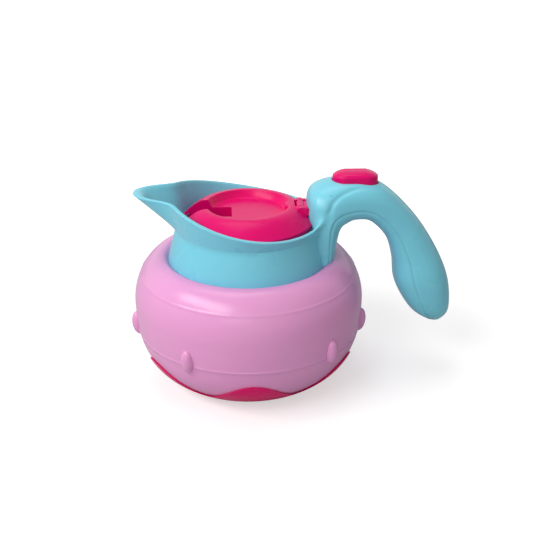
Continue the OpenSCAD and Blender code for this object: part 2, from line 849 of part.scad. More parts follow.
// Button with a flange inside the handle and two prongs over the lid's tails

dome_h = 3.4;
cap_edge_h = 0.5;
flange_w = 1.2;
stub_h = 2.2;
arm_t = 2;
arm_rise = 1.4;
prong_half = 0.4;
prong_play = 0.3;

module button() {
    prong_x = pin_x + tail_arm;
    prong_z = pin_z + tail_t / 2 + prong_play;
    arm_z = prong_z + arm_rise;
    flange_x = button_x - button_long / 2 - flange_w;
    color(magenta) {
        // Cap with a domed top
        hull() for (side = [-1, 1])
            translate([button_x + side * (button_long - button_w) / 2, 0, handle_top_z]) {
                translate([0, 0, button_h - dome_h]) scale([1, 1, dome_h / (button_w / 2)])
                    sphere(r = button_w / 2, $fn = 32);
                cylinder(h = cap_edge_h, r = button_w / 2, $fn = 32);
            }
        translate([button_x, 0, button_flange_z])
            stadium(button_long, button_w, handle_top_z + cap_edge_h - button_flange_z);
        translate([button_x, 0, button_flange_z])
            stadium(button_long + 2 * flange_w, button_w + 2 * flange_w, button_flange_t);
        // Stub inside the spring
        translate([spring_x, 0, button_flange_z - stub_h])
            cylinder(h = stub_h + button_flange_t / 2, r = post_r, $fn = 32);
        // Arms and prongs
        for (side = [-1, 1])
            translate([0, side * (nose_w / 2 + free_gap + ear_w / 2), 0]) rotate([90, 0, 0])
                linear_extrude(height = ear_w - free_gap, center = true) polygon([
                    [prong_x - prong_half, prong_z],
                    [prong_x + prong_half, prong_z],
                    [prong_x + prong_half, arm_z],
                    [flange_x + 1, arm_z],
                    [flange_x + 3, button_flange_z],
                    [flange_x + 4, button_flange_z + 1],
                    [flange_x, button_flange_z + 1],
                    [prong_x + arm_t, arm_z + arm_t],
                    [prong_x - prong_half, arm_z]]);
    }
}

// Coil spring between the cover's seat and the button's flange

spring_turns = 4;
rings_per_turn = 12;
wire_sides = 6;
coil_play = 0.05;

module button_spring() {
    foot = spring_foot_z + spring_wire_r + coil_play;
    rise = button_flange_z - coil_play - spring_wire_r - foot;
    coil_r = spring_r - spring_wire_r;
    rings = spring_turns * rings_per_turn;
    points = [for (i = [0:rings], j = [0:wire_sides - 1])
        let (turn = 360 * i / rings_per_turn,
             side = 360 * j / wire_sides,
             r = coil_r + spring_wire_r * cos(side))
        [r * cos(turn), r * sin(turn), foot + rise * i / rings + spring_wire_r * sin(side)]];
    faces = concat(
        [[for (j = [wire_sides - 1:-1:0]) j], [for (j = [0:wire_sides - 1]) rings * wire_sides + j]],
        [for (i = [0:rings - 1], j = [0:wire_sides - 1], half = [0, 1])
            let (a = i * wire_sides + j,
                 b = i * wire_sides + (j + 1) % wire_sides,
                 c = (i + 1) * wire_sides + (j + 1) % wire_sides,
                 d = (i + 1) * wire_sides + j)
            half == 0 ? [a, b, c] : [a, c, d]]);
    color(steel) translate([spring_x, 0, 0]) polyhedron(points = points, faces = faces);
}

base_dish();
base_screws();
lower_bowl();
upper_bowl();
neck_collar();
handle_shell();
handle_cover();
handle_screws();
hinge_block();
block_screws();
lid_pin();
lid();
button();
button_spring();
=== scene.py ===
import json
import math

import bmesh
import bpy
from mathutils import Matrix, Vector

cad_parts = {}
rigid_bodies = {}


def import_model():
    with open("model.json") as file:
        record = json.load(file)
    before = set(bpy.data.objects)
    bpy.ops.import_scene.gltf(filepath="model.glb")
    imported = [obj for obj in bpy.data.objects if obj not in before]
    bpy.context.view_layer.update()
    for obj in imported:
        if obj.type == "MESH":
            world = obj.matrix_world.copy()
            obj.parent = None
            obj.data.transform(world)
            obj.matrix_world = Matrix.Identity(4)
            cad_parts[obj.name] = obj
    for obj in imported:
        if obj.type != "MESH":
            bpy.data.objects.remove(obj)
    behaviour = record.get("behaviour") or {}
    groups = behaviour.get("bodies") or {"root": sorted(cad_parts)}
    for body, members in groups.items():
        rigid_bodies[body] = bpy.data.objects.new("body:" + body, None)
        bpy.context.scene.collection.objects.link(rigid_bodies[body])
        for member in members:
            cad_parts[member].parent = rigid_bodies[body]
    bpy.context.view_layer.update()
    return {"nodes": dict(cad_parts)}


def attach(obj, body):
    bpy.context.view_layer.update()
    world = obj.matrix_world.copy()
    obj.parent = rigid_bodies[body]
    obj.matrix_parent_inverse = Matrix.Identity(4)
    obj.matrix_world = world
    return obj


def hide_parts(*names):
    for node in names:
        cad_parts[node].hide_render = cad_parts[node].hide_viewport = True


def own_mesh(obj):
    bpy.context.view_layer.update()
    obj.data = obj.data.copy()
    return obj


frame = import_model()


# Base dish. One magenta moulding: a flat floor that the pot stands on, and a thin wall of six rounded
# petals that cup the bottom of the body. Three screws hold it from below.
MM = 0.001
UPWARDS = (0, 0, 1)
BELLY_R, BELLY_Z, BELLY_POWER = 54.95, 42.0, 2.8
REST_R, DISH_FLOOR, DISH_PROUD = 29.5, 1.6, 0.7
PETALS, PETAL_LEAD, PETAL_TIP_Z, PETAL_VALLEY_Z = 6, math.radians(0.5), 19.8, 7.5
PETAL_LIP, DISH_COUNT, DISH_OUT_STEPS, DISH_IN_STEPS, DISH_CROWDING = 0.1, 240, 16, 12, 1.4
FIT, CENTRE_R, FLOOR_ROUND = 0.12, 2.0, 2.0
DISH_DEPTH = BELLY_Z / (1 - (REST_R / BELLY_R) ** BELLY_POWER) ** (1 / BELLY_POWER)
BOWL_DEPTH = DISH_DEPTH - DISH_PROUD
SCREW_RING, SCREW_TURNS = 17.5, (60, 180, 300)
HEAD_WELL_R, HEAD_WELL_DEPTH, SHANK_R, SHANK_CUT, CUT_BELOW = 2.82, 0.8, 1.52, 3.0, 1.0


def start_chain(name, turns):
    """A closed chain of points, each knowing its own turn, left selected in edit mode."""
    bpy.ops.object.select_all(action="DESELECT")
    bpy.ops.mesh.primitive_circle_add(vertices=len(turns), radius=REST_R * MM)
    piece = bpy.context.object
    piece.name = piece.data.name = name
    bpy.ops.object.mode_set(mode="EDIT")
    mesh = bmesh.from_edit_mesh(piece.data)
    own_turn = mesh.verts.layers.float.new("turn")
    for point, turn in zip(mesh.verts, turns):
        point[own_turn] = turn
    bmesh.update_edit_mesh(piece.data)
    bpy.ops.mesh.select_all(action="SELECT")
    return piece


def sweep(piece, rows, rule):
    """Extrudes the selected chain once for each row; the rule says where a row puts each turn, in mm."""
    for step, row in enumerate(rows):
        if step:
            bpy.ops.mesh.extrude_region_move()
        mesh = bmesh.from_edit_mesh(piece.data)
        own_turn = mesh.verts.layers.float["turn"]
        for point in mesh.verts:
            if point.select:
                point.co = Vector(rule(row, point[own_turn])) * MM
        bmesh.update_edit_mesh(piece.data)


def close_wall(bridge=False):
    """Closes a swept wall: its two open ends are joined to each other or each gets a face."""
    bpy.ops.mesh.select_mode(type="EDGE")
    bpy.ops.mesh.select_all(action="DESELECT")
    bpy.ops.mesh.select_non_manifold(extend=False, use_wire=False, use_multi_face=False,
                                     use_non_contiguous=False)
    if bridge:
        bpy.ops.mesh.bridge_edge_loops()
    else:
        bpy.ops.mesh.fill_holes(sides=0)
    bpy.ops.mesh.select_mode(type="VERT")
    bpy.ops.mesh.select_all(action="SELECT")
    bpy.ops.mesh.normals_make_consistent(inside=False)
    bpy.ops.object.mode_set(mode="OBJECT")


def rod(radius, place, axis, length, count=40):
    """A round tool from a place, in mm, along an axis."""
    bpy.ops.object.select_all(action="DESELECT")
    along = Vector(axis).normalized()
    middle = (Vector(place) + along * length / 2) * MM
    bpy.ops.mesh.primitive_cylinder_add(vertices=count, radius=radius * MM, depth=length * MM,
                                        location=middle, rotation=along.to_track_quat("Z", "Y").to_euler())
    bpy.ops.object.transform_apply()
    return bpy.context.object


def shape(piece, tool, operation="DIFFERENCE"):
    """Cuts a tool out of a piece, or joins it on, and takes the tool away."""
    step = piece.modifiers.new("shape", "BOOLEAN")
    step.operation, step.object, step.solver = operation, tool, "EXACT"
    bpy.context.view_layer.objects.active = piece
    bpy.ops.object.modifier_apply(modifier=step.name)
    bpy.data.objects.remove(tool)


def hand_over(piece, material, body, nodes, angle=40):
    """Gives a finished piece its shading, material and place in the assembly."""
    bpy.ops.object.select_all(action="DESELECT")
    piece.select_set(True)
    bpy.context.view_layer.objects.active = piece
    bpy.ops.object.shade_smooth_by_angle(angle=math.radians(angle))
    if "turn" in piece.data.attributes:
        piece.data.attributes.remove(piece.data.attributes["turn"])
    piece.data.materials.clear()
    piece.data.materials.append(material)
    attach(piece, body)
    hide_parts(*nodes)


def to_linear(level):
    """A colour level as it looks on a screen, 0 to 255, in the linear value that a shader takes."""
    share = level / 255
    return share / 12.92 if level < 11 else ((share + 0.055) / 1.055) ** 2.4


def from_screen(red, green, blue):
    return to_linear(red), to_linear(green), to_linear(blue), 1


# The skin of a moulded toy part: colour a little deeper in slow clouds, gloss that is hazier in places,
# and a faint ripple from the mould
CLOUD_SCALE, HAZE_SCALE, RIPPLE_SCALE, SKIN_TURN = 22, 45, 140, (0.3, 0.5, 0.2)
skin = bpy.data.node_groups.new("moulded_skin", "ShaderNodeTree")
for way, kind, name in (("INPUT", "NodeSocketColor", "Colour"), ("INPUT", "NodeSocketColor", "Deeper colour"),
                        ("INPUT", "NodeSocketFloat", "Polished"), ("INPUT", "NodeSocketFloat", "Hazy"),
                        ("OUTPUT", "NodeSocketColor", "Colour"), ("OUTPUT", "NodeSocketFloat", "Roughness"),
                        ("OUTPUT", "NodeSocketFloat", "Ripple")):
    skin.interface.new_socket(name=name, in_out=way, socket_type=kind)
skin_in = skin.nodes.new("NodeGroupInput")
skin_out = skin.nodes.new("NodeGroupOutput")
skin_place = skin.nodes.new("ShaderNodeTexCoord")


def skin_noise(scale):
    turn = skin.nodes.new("ShaderNodeMapping")
    turn.inputs["Rotation"].default_value = SKIN_TURN
    noise = skin.nodes.new("ShaderNodeTexNoise")
    noise.inputs["Scale"].default_value = scale
    noise.inputs["Detail"].default_value = 2
    skin.links.new(skin_place.outputs["Object"], turn.inputs["Vector"])
    skin.links.new(turn.outputs["Vector"], noise.inputs["Vector"])
    return noise.outputs["Fac"]


def skin_mix(kind, scale, plain, changed, result):
    """Mixes two inputs of the skin by a noise that is stretched to its full range."""
    span = skin.nodes.new("ShaderNodeMapRange")
    span.inputs["From Min"].default_value = 0.2
    span.inputs["From Max"].default_value = 0.8
    skin.links.new(skin_noise(scale), span.inputs["Value"])
    mix = skin.nodes.new("ShaderNodeMix")
    mix.data_type = kind
    skin.links.new(span.outputs["Result"], mix.inputs["Factor"])
    skin.links.new(skin_in.outputs[plain], mix.inputs["A"])
    skin.links.new(skin_in.outputs[changed], mix.inputs["B"])
    skin.links.new(mix.outputs["Result"], skin_out.inputs[result])


skin_mix("RGBA", CLOUD_SCALE, "Colour", "Deeper colour", "Colour")
skin_mix("FLOAT", HAZE_SCALE, "Polished", "Hazy", "Roughness")
skin.links.new(skin_noise(RIPPLE_SCALE), skin_out.inputs["Ripple"])


def moulded_plastic(name, colour, deeper, polished, hazy, glow, mirror):
    """A toy part's opaque plastic, with a little light let into it."""
    material = bpy.data.materials.new(name)
    material.use_nodes = True
    tree = material.node_tree
    shader = tree.nodes["Principled BSDF"]
    shader.inputs["IOR"].default_value = 1.5
    shader.inputs["Specular IOR Level"].default_value = mirror
    shader.inputs["Subsurface Weight"].default_value = glow
    shader.inputs["Subsurface Radius"].default_value = (1.0, 0.6, 0.6)
    shader.inputs["Subsurface Scale"].default_value = 0.002
    finish = tree.nodes.new("ShaderNodeGroup")
    finish.node_tree = skin
    finish.inputs["Colour"].default_value = colour
    finish.inputs["Deeper colour"].default_value = deeper
    finish.inputs["Polished"].default_value = polished
    finish.inputs["Hazy"].default_value = hazy
    ripple = tree.nodes.new("ShaderNodeBump")
    ripple.inputs["Strength"].default_value = 0.06
    ripple.inputs["Distance"].default_value = 0.0002
    tree.links.new(finish.outputs["Colour"], shader.inputs["Base Color"])
    tree.links.new(finish.outputs["Roughness"], shader.inputs["Roughness"])
    tree.links.new(finish.outputs["Ripple"], ripple.inputs["Height"])
    tree.links.new(ripple.outputs["Normal"], shader.inputs["Normal"])
    return material


def belly_radius(z, grow=0.0, depth=BOWL_DEPTH):
    return (BELLY_R + grow) * (1 - (abs(BELLY_Z - z) / depth) ** BELLY_POWER) ** (1 / BELLY_POWER)


def petal_edge(turn):
    rise = (1 - math.cos(PETALS * (turn - PETAL_LEAD))) / 2
    return PETAL_VALLEY_Z + (PETAL_TIP_Z - PETAL_VALLEY_Z) * rise


def dish_point(row, turn):
    side, share = row
    edge = petal_edge(turn)
    if side == "floor":
        r, z = share
    elif side == "out":
        z = edge * share
        r = belly_radius(z, DISH_PROUD, DISH_DEPTH)
    elif side == "lip":
        z = edge + PETAL_LIP
        r = (belly_radius(edge, DISH_PROUD, DISH_DEPTH) + belly_radius(edge, FIT, BOWL_DEPTH + FIT)) / 2
    else:
        z = DISH_FLOOR + (edge - DISH_FLOOR) * share
        r = belly_radius(z, FIT, BOWL_DEPTH + FIT)
    return r * math.cos(turn), r * math.sin(turn), z


def screw_place(turn, z):
    """A place on the ring of base screws, in mm."""
    return SCREW_RING * math.cos(math.radians(turn)), SCREW_RING * math.sin(math.radians(turn)), z


magenta = moulded_plastic("magenta_plastic", from_screen(226, 6, 108), from_screen(220, 4, 100),
                          polished=0.22, hazy=0.3, glow=0.03, mirror=0.14)
base_dish = start_chain("petal_dish", [math.tau * i / DISH_COUNT for i in range(DISH_COUNT)])
dish_rows = [("floor", (CENTRE_R, 0)), ("floor", (REST_R - FLOOR_ROUND, 0))]
dish_rows += [("out", (i / DISH_OUT_STEPS) ** DISH_CROWDING) for i in range(DISH_OUT_STEPS + 1)]
dish_rows += [("lip", 1)]
dish_rows += [("in", 1 - i / DISH_IN_STEPS) for i in range(DISH_IN_STEPS + 1)]
dish_rows += [("floor", (CENTRE_R, DISH_FLOOR))]
sweep(base_dish, dish_rows, dish_point)
close_wall()
for turn in SCREW_TURNS:
    start = screw_place(turn, -CUT_BELOW)
    shape(base_dish, rod(HEAD_WELL_R, start, UPWARDS, CUT_BELOW + HEAD_WELL_DEPTH))
    shape(base_dish, rod(SHANK_R, start, UPWARDS, CUT_BELOW + SHANK_CUT))
hand_over(base_dish, magenta, "pot", ["base_dish"])


# Base screws, handle screws, block screws and the lid's pin. They are the solids of the CAD model, small
# steel pieces that are driven or pressed into the mouldings, and get a bright turned finish here.
steel = bpy.data.materials.new("turned_steel")
steel.use_nodes = True
steel_shader = steel.node_tree.nodes["Principled BSDF"]
steel_shader.inputs["Base Color"].default_value = (0.62, 0.63, 0.65, 1)
steel_shader.inputs["Metallic"].default_value = 1.0
steel_place = steel.node_tree.nodes.new("ShaderNodeTexCoord")
steel_lines = steel.node_tree.nodes.new("ShaderNodeTexNoise")
steel_lines.inputs["Scale"].default_value = 1800
steel_range = steel.node_tree.nodes.new("ShaderNodeMapRange")
steel_range.inputs["To Min"].default_value = 0.22
steel_range.inputs["To Max"].default_value = 0.42
steel.node_tree.links.new(steel_place.outputs["Object"], steel_lines.inputs["Vector"])
steel.node_tree.links.new(steel_lines.outputs["Fac"], steel_range.inputs["Value"])
steel.node_tree.links.new(steel_range.outputs["Result"], steel_shader.inputs["Roughness"])
for name in ("base_screws", "handle_screws", "block_screws", "lid_pin"):
    frame["nodes"][name].data.materials.clear()
    frame["nodes"][name].data.materials.append(steel)


# Lower bowl. The bottom half of the pink body, a thin-walled moulding with the lower ends of six upright
# nubs on it. A fine raised line runs round where it meets the upper bowl, and bosses take the base screws.
BOWL_FLOOR, BOWL_WALL, BOWL_REST_R, SPLIT_Z = DISH_FLOOR + FIT, 2.0, 24.0, 28.0
LOW_OUT_STEPS, LOW_IN_STEPS, BOWL_CROWDING = 18, 10, 1.5
SPLIT_GAP, LINE_PROUD, LINE_FOOT, LINE_SIDE, LINE_TOP = 0.02, 0.2, 0.5, 0.3, 0.1
NUB_R, NUB_HALF, NUB_PROUD, NUB_LEAN, NUB_Z = 3.1, 6.1, 2.7, 6.0, SPLIT_Z + 2.4
NUB_TURNS = (-10, -48, -122, -172, 122, 48)
BOSS_R, BOSS_H, PILOT_R, PILOT_DEPTH = 2.8, 9.0, 1.45, 8.0
SPLIT_R = belly_radius(SPLIT_Z)


def turned(name, outline, count=160, bridge=False):
    """A wall turned about the pot's axis from an outline of (radius, height) in mm."""
    piece = start_chain(name, [math.tau * i / count for i in range(count)])
    sweep(piece, outline, lambda row, turn: (row[0] * math.cos(turn), row[0] * math.sin(turn), row[1]))
    close_wall(bridge)
    return piece


def nub(turn, low, high):
    """The part of one upright nub between two heights."""
    bpy.ops.object.select_all(action="DESELECT")
    bpy.ops.mesh.primitive_uv_sphere_add(segments=32, ring_count=16, radius=NUB_R * MM)
    piece = bpy.context.object
    bpy.ops.object.mode_set(mode="EDIT")
    bpy.ops.mesh.select_all(action="SELECT")
    bpy.ops.transform.resize(value=(1, 1, NUB_HALF / NUB_R))
    lean = Matrix.Rotation(math.radians(NUB_LEAN), 4, "Y")
    out = Matrix.Translation(Vector((belly_radius(NUB_Z) + NUB_PROUD - NUB_R, 0, NUB_Z)) * MM)
    bpy.ops.object.mode_set(mode="OBJECT")
    piece.matrix_world = Matrix.Rotation(math.radians(turn), 4, "Z") @ out @ lean
    bpy.ops.object.transform_apply()
    bpy.ops.object.mode_set(mode="EDIT")
    for height, keep_above in ((low, True), (high, False)):
        bpy.ops.mesh.select_all(action="SELECT")
        bpy.ops.mesh.bisect(plane_co=(0, 0, height * MM), plane_no=UPWARDS, use_fill=True,
                            clear_inner=keep_above, clear_outer=not keep_above)
    bpy.ops.object.mode_set(mode="OBJECT")
    return piece


pink = moulded_plastic("pink_plastic", from_screen(228, 158, 206), from_screen(225, 152, 202),
                       polished=0.2, hazy=0.27, glow=0.12, mirror=0.4)
low_outline = [(CENTRE_R, BOWL_FLOOR), (BOWL_REST_R, BOWL_FLOOR)]
for i in range(LOW_OUT_STEPS + 1):
    z = BOWL_FLOOR + (SPLIT_Z - LINE_FOOT - BOWL_FLOOR) * (i / LOW_OUT_STEPS) ** BOWL_CROWDING
    low_outline.append((belly_radius(z), z))
low_outline += [(SPLIT_R + 0.3 * LINE_PROUD, SPLIT_Z - LINE_SIDE), (SPLIT_R + LINE_PROUD, SPLIT_Z - LINE_TOP),
                (SPLIT_R + LINE_PROUD, SPLIT_Z - SPLIT_GAP)]
inner_floor = BOWL_FLOOR + BOWL_WALL
for i in range(LOW_IN_STEPS + 1):
    z = inner_floor + (SPLIT_Z - inner_floor) * (1 - i / LOW_IN_STEPS) ** BOWL_CROWDING
    low_outline.append((belly_radius(z, -BOWL_WALL, BOWL_DEPTH - BOWL_WALL), z - SPLIT_GAP))
low_outline += [(CENTRE_R, inner_floor - SPLIT_GAP)]
lower_bowl = turned("lower_bowl_skin", low_outline)
for turn in NUB_TURNS:
    shape(lower_bowl, nub(turn, 0, SPLIT_Z - SPLIT_GAP), "UNION")
for turn in SCREW_TURNS:
    shape(lower_bowl, rod(BOSS_R, screw_place(turn, BOWL_FLOOR), UPWARDS, BOSS_H), "UNION")
    shape(lower_bowl, rod(PILOT_R, screw_place(turn, 0), UPWARDS, BOWL_FLOOR + PILOT_DEPTH))
hand_over(lower_bowl, pink, "pot", ["lower_bowl"])


# Upper bowl. The top half of the pink body, with a fine raised line round the shoulder, a rounded crest, and
# a sunk seat that the collar stands in. The upper ends of the nubs are moulded with it.
SHOULDER_Z, SEAT_Z, NECK_R, SHOULDER_R, SHOULDER_POWER = 63.4, 61.8, 38.2, 41.0, 1.8
RING_Z, RING_WIDTH, RING_OUT, RING_UP, MOUTH_R = 55.1, 0.35, 0.1875, 0.1625, 35.9
SHOULDER_STEPS, BELLY_STEPS, SEAT_STEPS, INNER_STEPS = 60, 12, 5, 10


def shoulder_point(turn, wall=0.0):
    """A point of the shoulder's outline: 0 is the belly and a quarter turn the crest."""
    return (SHOULDER_R + (BELLY_R - SHOULDER_R - wall) * math.cos(turn) ** (2 / SHOULDER_POWER),
            BELLY_Z + (SHOULDER_Z - BELLY_Z - wall) * math.sin(turn) ** (2 / SHOULDER_POWER))


def lined_shoulder_point(turn):
    """The same with the fine line raised on it."""
    r, z = shoulder_point(turn)
    line = math.exp(-((z - RING_Z) / RING_WIDTH) ** 2)
    return r + RING_OUT * line, z + RING_UP * line


def seat_point(share):
    """The dip from the crest down to the collar's seat."""
    return (SHOULDER_R + (NECK_R - SHOULDER_R) * share,
            SEAT_Z + (SHOULDER_Z - SEAT_Z) * math.cos(math.pi / 2 * share))


belly_foot = SPLIT_Z + LINE_FOOT
belly_heights = [belly_foot + (BELLY_Z - belly_foot) * i / BELLY_STEPS for i in range(BELLY_STEPS + 1)]
seat_dip = [seat_point(i / SEAT_STEPS) for i in range(1, SEAT_STEPS + 1)]
top_outline = [(SPLIT_R + LINE_PROUD, SPLIT_Z + SPLIT_GAP), (SPLIT_R + 1.2 * LINE_PROUD, SPLIT_Z + LINE_TOP),
               (SPLIT_R + 0.8 * LINE_PROUD, SPLIT_Z + LINE_SIDE)]
top_outline += [(belly_radius(z), z) for z in belly_heights]
top_outline += [lined_shoulder_point(math.pi / 2 * i / SHOULDER_STEPS) for i in range(1, SHOULDER_STEPS + 1)]
top_outline += seat_dip + [(MOUTH_R, SEAT_Z), (MOUTH_R, SEAT_Z - BOWL_WALL)]
inner_shares = [1 - i / INNER_STEPS for i in range(INNER_STEPS + 1)]
top_outline += [shoulder_point(math.pi / 2 * share, BOWL_WALL) for share in inner_shares]
top_outline += [(belly_radius(z, -BOWL_WALL), z) for z in reversed(belly_heights[:-1])]
top_outline += [(SPLIT_R - BOWL_WALL, SPLIT_Z + SPLIT_GAP)]
upper_bowl = turned("upper_bowl_skin", top_outline, bridge=True)
for turn in NUB_TURNS:
    shape(upper_bowl, nub(turn, SPLIT_Z + SPLIT_GAP, SHOULDER_Z), "UNION")
hand_over(upper_bowl, pink, "pot", ["upper_bowl"])


# Collar and handle shell. The aqua collar plugs into the body and flares to a rim that draws out into a
# beak; the trunk-shaped handle's outer shell grows out of its back, with a crease from the rim over the head.
CREASE_R, CREASE_Z, COLLAR_WALL, SPIGOT_H = 34.0, 77.2, 2.0, 5.0
RIM_R, RIM_LOW, BEAK_RISE, BEAK_REACH, RIM_LEAN = 36.8, 4.0, 17.4, 53.0, 1.4
BEAK_ANGLE, BEAK_POWER, RIM_LOW_ANGLE, RIM_RISE_POWER, LIP_EXTRA = 15.3, 2.8, 155.0, 3.3, 2.0
LIFT_FROM, LIFT_TO, LIFT_UP, LIFT_OUT = 143.0, 166.0, 4.6, 4.4
LIP_HALF, LIP_DROP, COLLAR_COUNT, BEAK_CROWDING = 0.6, 0.35, 240, 1.35
BAND_STEPS, WALL_STEPS, FLARE_STEPS = 8, 6, 10


def lift_share(turn):
    """How far the rim has turned up and out to meet the handle's head, from 0 to 1."""
    t = min(max((abs(turn) - LIFT_FROM) / (LIFT_TO - LIFT_FROM), 0), 1)
    return t * t * (3 - 2 * t)


def rim_height(turn):
    fall = math.cos(math.pi / 2 * min(abs(turn) / RIM_LOW_ANGLE, 1)) ** RIM_RISE_POWER
    return RIM_LOW + (BEAK_RISE - RIM_LOW) * fall + LIFT_UP * lift_share(turn)


def rim_radius(turn, inset):
    beak = math.exp(-(abs(turn) / BEAK_ANGLE) ** BEAK_POWER)
    reach = BEAK_REACH - RIM_R - RIM_LEAN - (LIP_EXTRA if inset else 0)
    lean = RIM_LEAN * math.cos(math.radians(turn)) + LIFT_OUT * lift_share(turn)
    return RIM_R - inset + lean + reach * beak


def collar_point(row, turn):
    side, share = row
    angle = math.degrees(turn)
    if side == "band":
        r, z = share
    elif side == "lip":
        r = (rim_radius(angle, 0) + rim_radius(angle, COLLAR_WALL)) / 2 + share * LIP_HALF
        z = CREASE_Z + rim_height(angle)
    else:
        inset = COLLAR_WALL if side == "in" else 0
        foot = CREASE_R - inset
        r = foot + (rim_radius(angle, inset) - foot) * share
        z = CREASE_Z + (rim_height(angle) - LIP_DROP) * share
    return -r * math.cos(turn), r * math.sin(turn), z


def collar_turn(share):
    """A turn for a share from -1 to 1; the turns crowd together at the beak."""
    return math.pi * math.copysign(abs(share) ** BEAK_CROWDING, share)


def steps_between(start, end, count):
    """Points in even steps from one (radius, height) up to another, which is left off."""
    return [tuple(a + (b - a) * i / count for a, b in zip(start, end)) for i in range(count)]


collar = start_chain("jug_collar", [collar_turn(2 * i / COLLAR_COUNT - 1) for i in range(COLLAR_COUNT)])
spigot_r = MOUTH_R - FIT
flare = [i / FLARE_STEPS for i in range(FLARE_STEPS + 1)]
inner_band = [(spigot_r - COLLAR_WALL, SEAT_Z - SPIGOT_H), (spigot_r - COLLAR_WALL, SEAT_Z)]
inner_band += steps_between((NECK_R - COLLAR_WALL, SEAT_Z + COLLAR_WALL), (CREASE_R - COLLAR_WALL, CREASE_Z),
                            WALL_STEPS)
outer_band = [(spigot_r, SEAT_Z - SPIGOT_H), (spigot_r, SEAT_Z + FIT)]
outer_band += steps_between((NECK_R, SEAT_Z + FIT), (CREASE_R, CREASE_Z), BAND_STEPS)
collar_rows = [("band", p) for p in inner_band] + [("in", s) for s in flare]
collar_rows += [("lip", share) for share in (-1, 0, 1)]
collar_rows += [("out", s) for s in reversed(flare)] + [("band", p) for p in reversed(outer_band)]
sweep(collar, collar_rows, collar_point)
close_wall(bridge=True)

# A ledge inside the flare carries the lid's edge, and stops short of the hinge
LEDGE_R, LEDGE_OUT, LEDGE_T, LEDGE_END_X = 29.8, 33.0, 1.4, 14.0
BEYOND, CUT_LOW, CUT_HIGH = 40.0, 70.0, 95.0


def block(low, high):
    """A square tool between two corners, in mm."""
    bpy.ops.object.select_all(action="DESELECT")
    low, high = Vector(low) * MM, Vector(high) * MM
    bpy.ops.mesh.primitive_cube_add(size=1, location=(low + high) / 2, scale=high - low)
    bpy.ops.object.transform_apply()
    return bpy.context.object


ledge = turned("lid_ledge", [(LEDGE_R, CREASE_Z), (LEDGE_OUT, CREASE_Z), (LEDGE_OUT, CREASE_Z + LEDGE_T),
                             (LEDGE_R, CREASE_Z + LEDGE_T)], bridge=True)
shape(ledge, block((LEDGE_END_X, -BEYOND, CUT_LOW), (BEYOND, BEYOND, CUT_HIGH)))
shape(collar, ledge, "UNION")

# Sections of the handle from the collar to its tip: outer edge x, z, inner edge x, z, and half width
HANDLE_REACH, HANDLE_TOP, ARCH_Z, HANDLE_END = 98.5, 99.6, 80.3, 24.0
HANDLE_POWER, HANDLE_WALL = 2.4, 2.0
handle_keys = [
    (NECK_R - 7.8, SEAT_Z - 1, NECK_R + 2.2, SEAT_Z - 1, 17.0),
    (NECK_R - 10.7, CREASE_Z + 7.8, NECK_R + 5.1, CREASE_Z - 1.7, 15.5),
    (NECK_R - 7.8, HANDLE_TOP - 4, NECK_R + 9.2, ARCH_Z - 1, 14.0),
    (NECK_R + 5.7, HANDLE_TOP, NECK_R + 13.7, ARCH_Z, 12.3),
    (NECK_R + 22.7, HANDLE_TOP - 2.2, NECK_R + 19.7, ARCH_Z - 1.5, 11.0),
    (HANDLE_REACH - 22.1, HANDLE_TOP - 15.6, HANDLE_REACH - 33.1, HANDLE_TOP - 29, 10.0),
    (HANDLE_REACH - 10.1, HANDLE_END + 43.3, HANDLE_REACH - 29.4, HANDLE_END + 35.5, 10.8),
    (HANDLE_REACH - 2.1, HANDLE_END + 26, HANDLE_REACH - 27.4, HANDLE_END + 22.6, 12.6),
    (HANDLE_REACH, HANDLE_END + 9.5, HANDLE_REACH - 20, HANDLE_END + 9.6, 10.5),
    (HANDLE_REACH - 3.3, HANDLE_END + 2.7, HANDLE_REACH - 12.2, HANDLE_END + 3.3, 5.4),
    (HANDLE_REACH - 5.9, HANDLE_END + 1.2, HANDLE_REACH - 8.2, HANDLE_END + 1.4, 1.2)]
last_key = len(handle_keys) - 1


def handle_section(s):
    """Middle, direction outwards, half thickness and half width of the handle at a place counted in keys."""
    i = min(int(s), last_key - 1)
    t = s - i
    p0, p1, p2, p3 = (handle_keys[min(max(i + step, 0), last_key)] for step in (-1, 0, 1, 2))
    k = []
    for a, b, c, d in zip(p0, p1, p2, p3):
        bend = (2 * a - 5 * b + 4 * c - d) * t ** 2 + (3 * b - a - 3 * c + d) * t ** 3
        k.append(0.5 * (2 * b + (c - a) * t + bend))
    across = Vector((k[0] - k[2], 0, k[1] - k[3]))
    return Vector(((k[0] + k[2]) / 2, 0, (k[1] + k[3]) / 2)), across.normalized(), across.length / 2, k[4]


def handle_point(s, turn, inset=0.0):
    middle, outwards, half, width = handle_section(s)
    along = math.copysign(abs(math.cos(turn)) ** (2 / HANDLE_POWER), math.cos(turn)) * (half - inset)
    side = math.copysign(abs(math.sin(turn)) ** (2 / HANDLE_POWER), math.sin(turn)) * (width - inset)
    return middle + outwards * along + Vector((0, side, 0))


# Turn of the crease that runs from the collar's rim over the head, at places along the handle
crease_path = [(1.2, 92), (1.4, 90), (2.0, 83), (2.44, 70), (2.88, 57), (3.32, 45), (3.7, 40), (4.2, 40)]
CREASE_DEEP, CREASE_WIDE, CREASE_START, CREASE_FADE = 0.7, 0.09, 0.3, 1.2
JOINT_TURN, JOINT_DEEP, JOINT_WIDE = math.radians(106), 0.35, 0.06


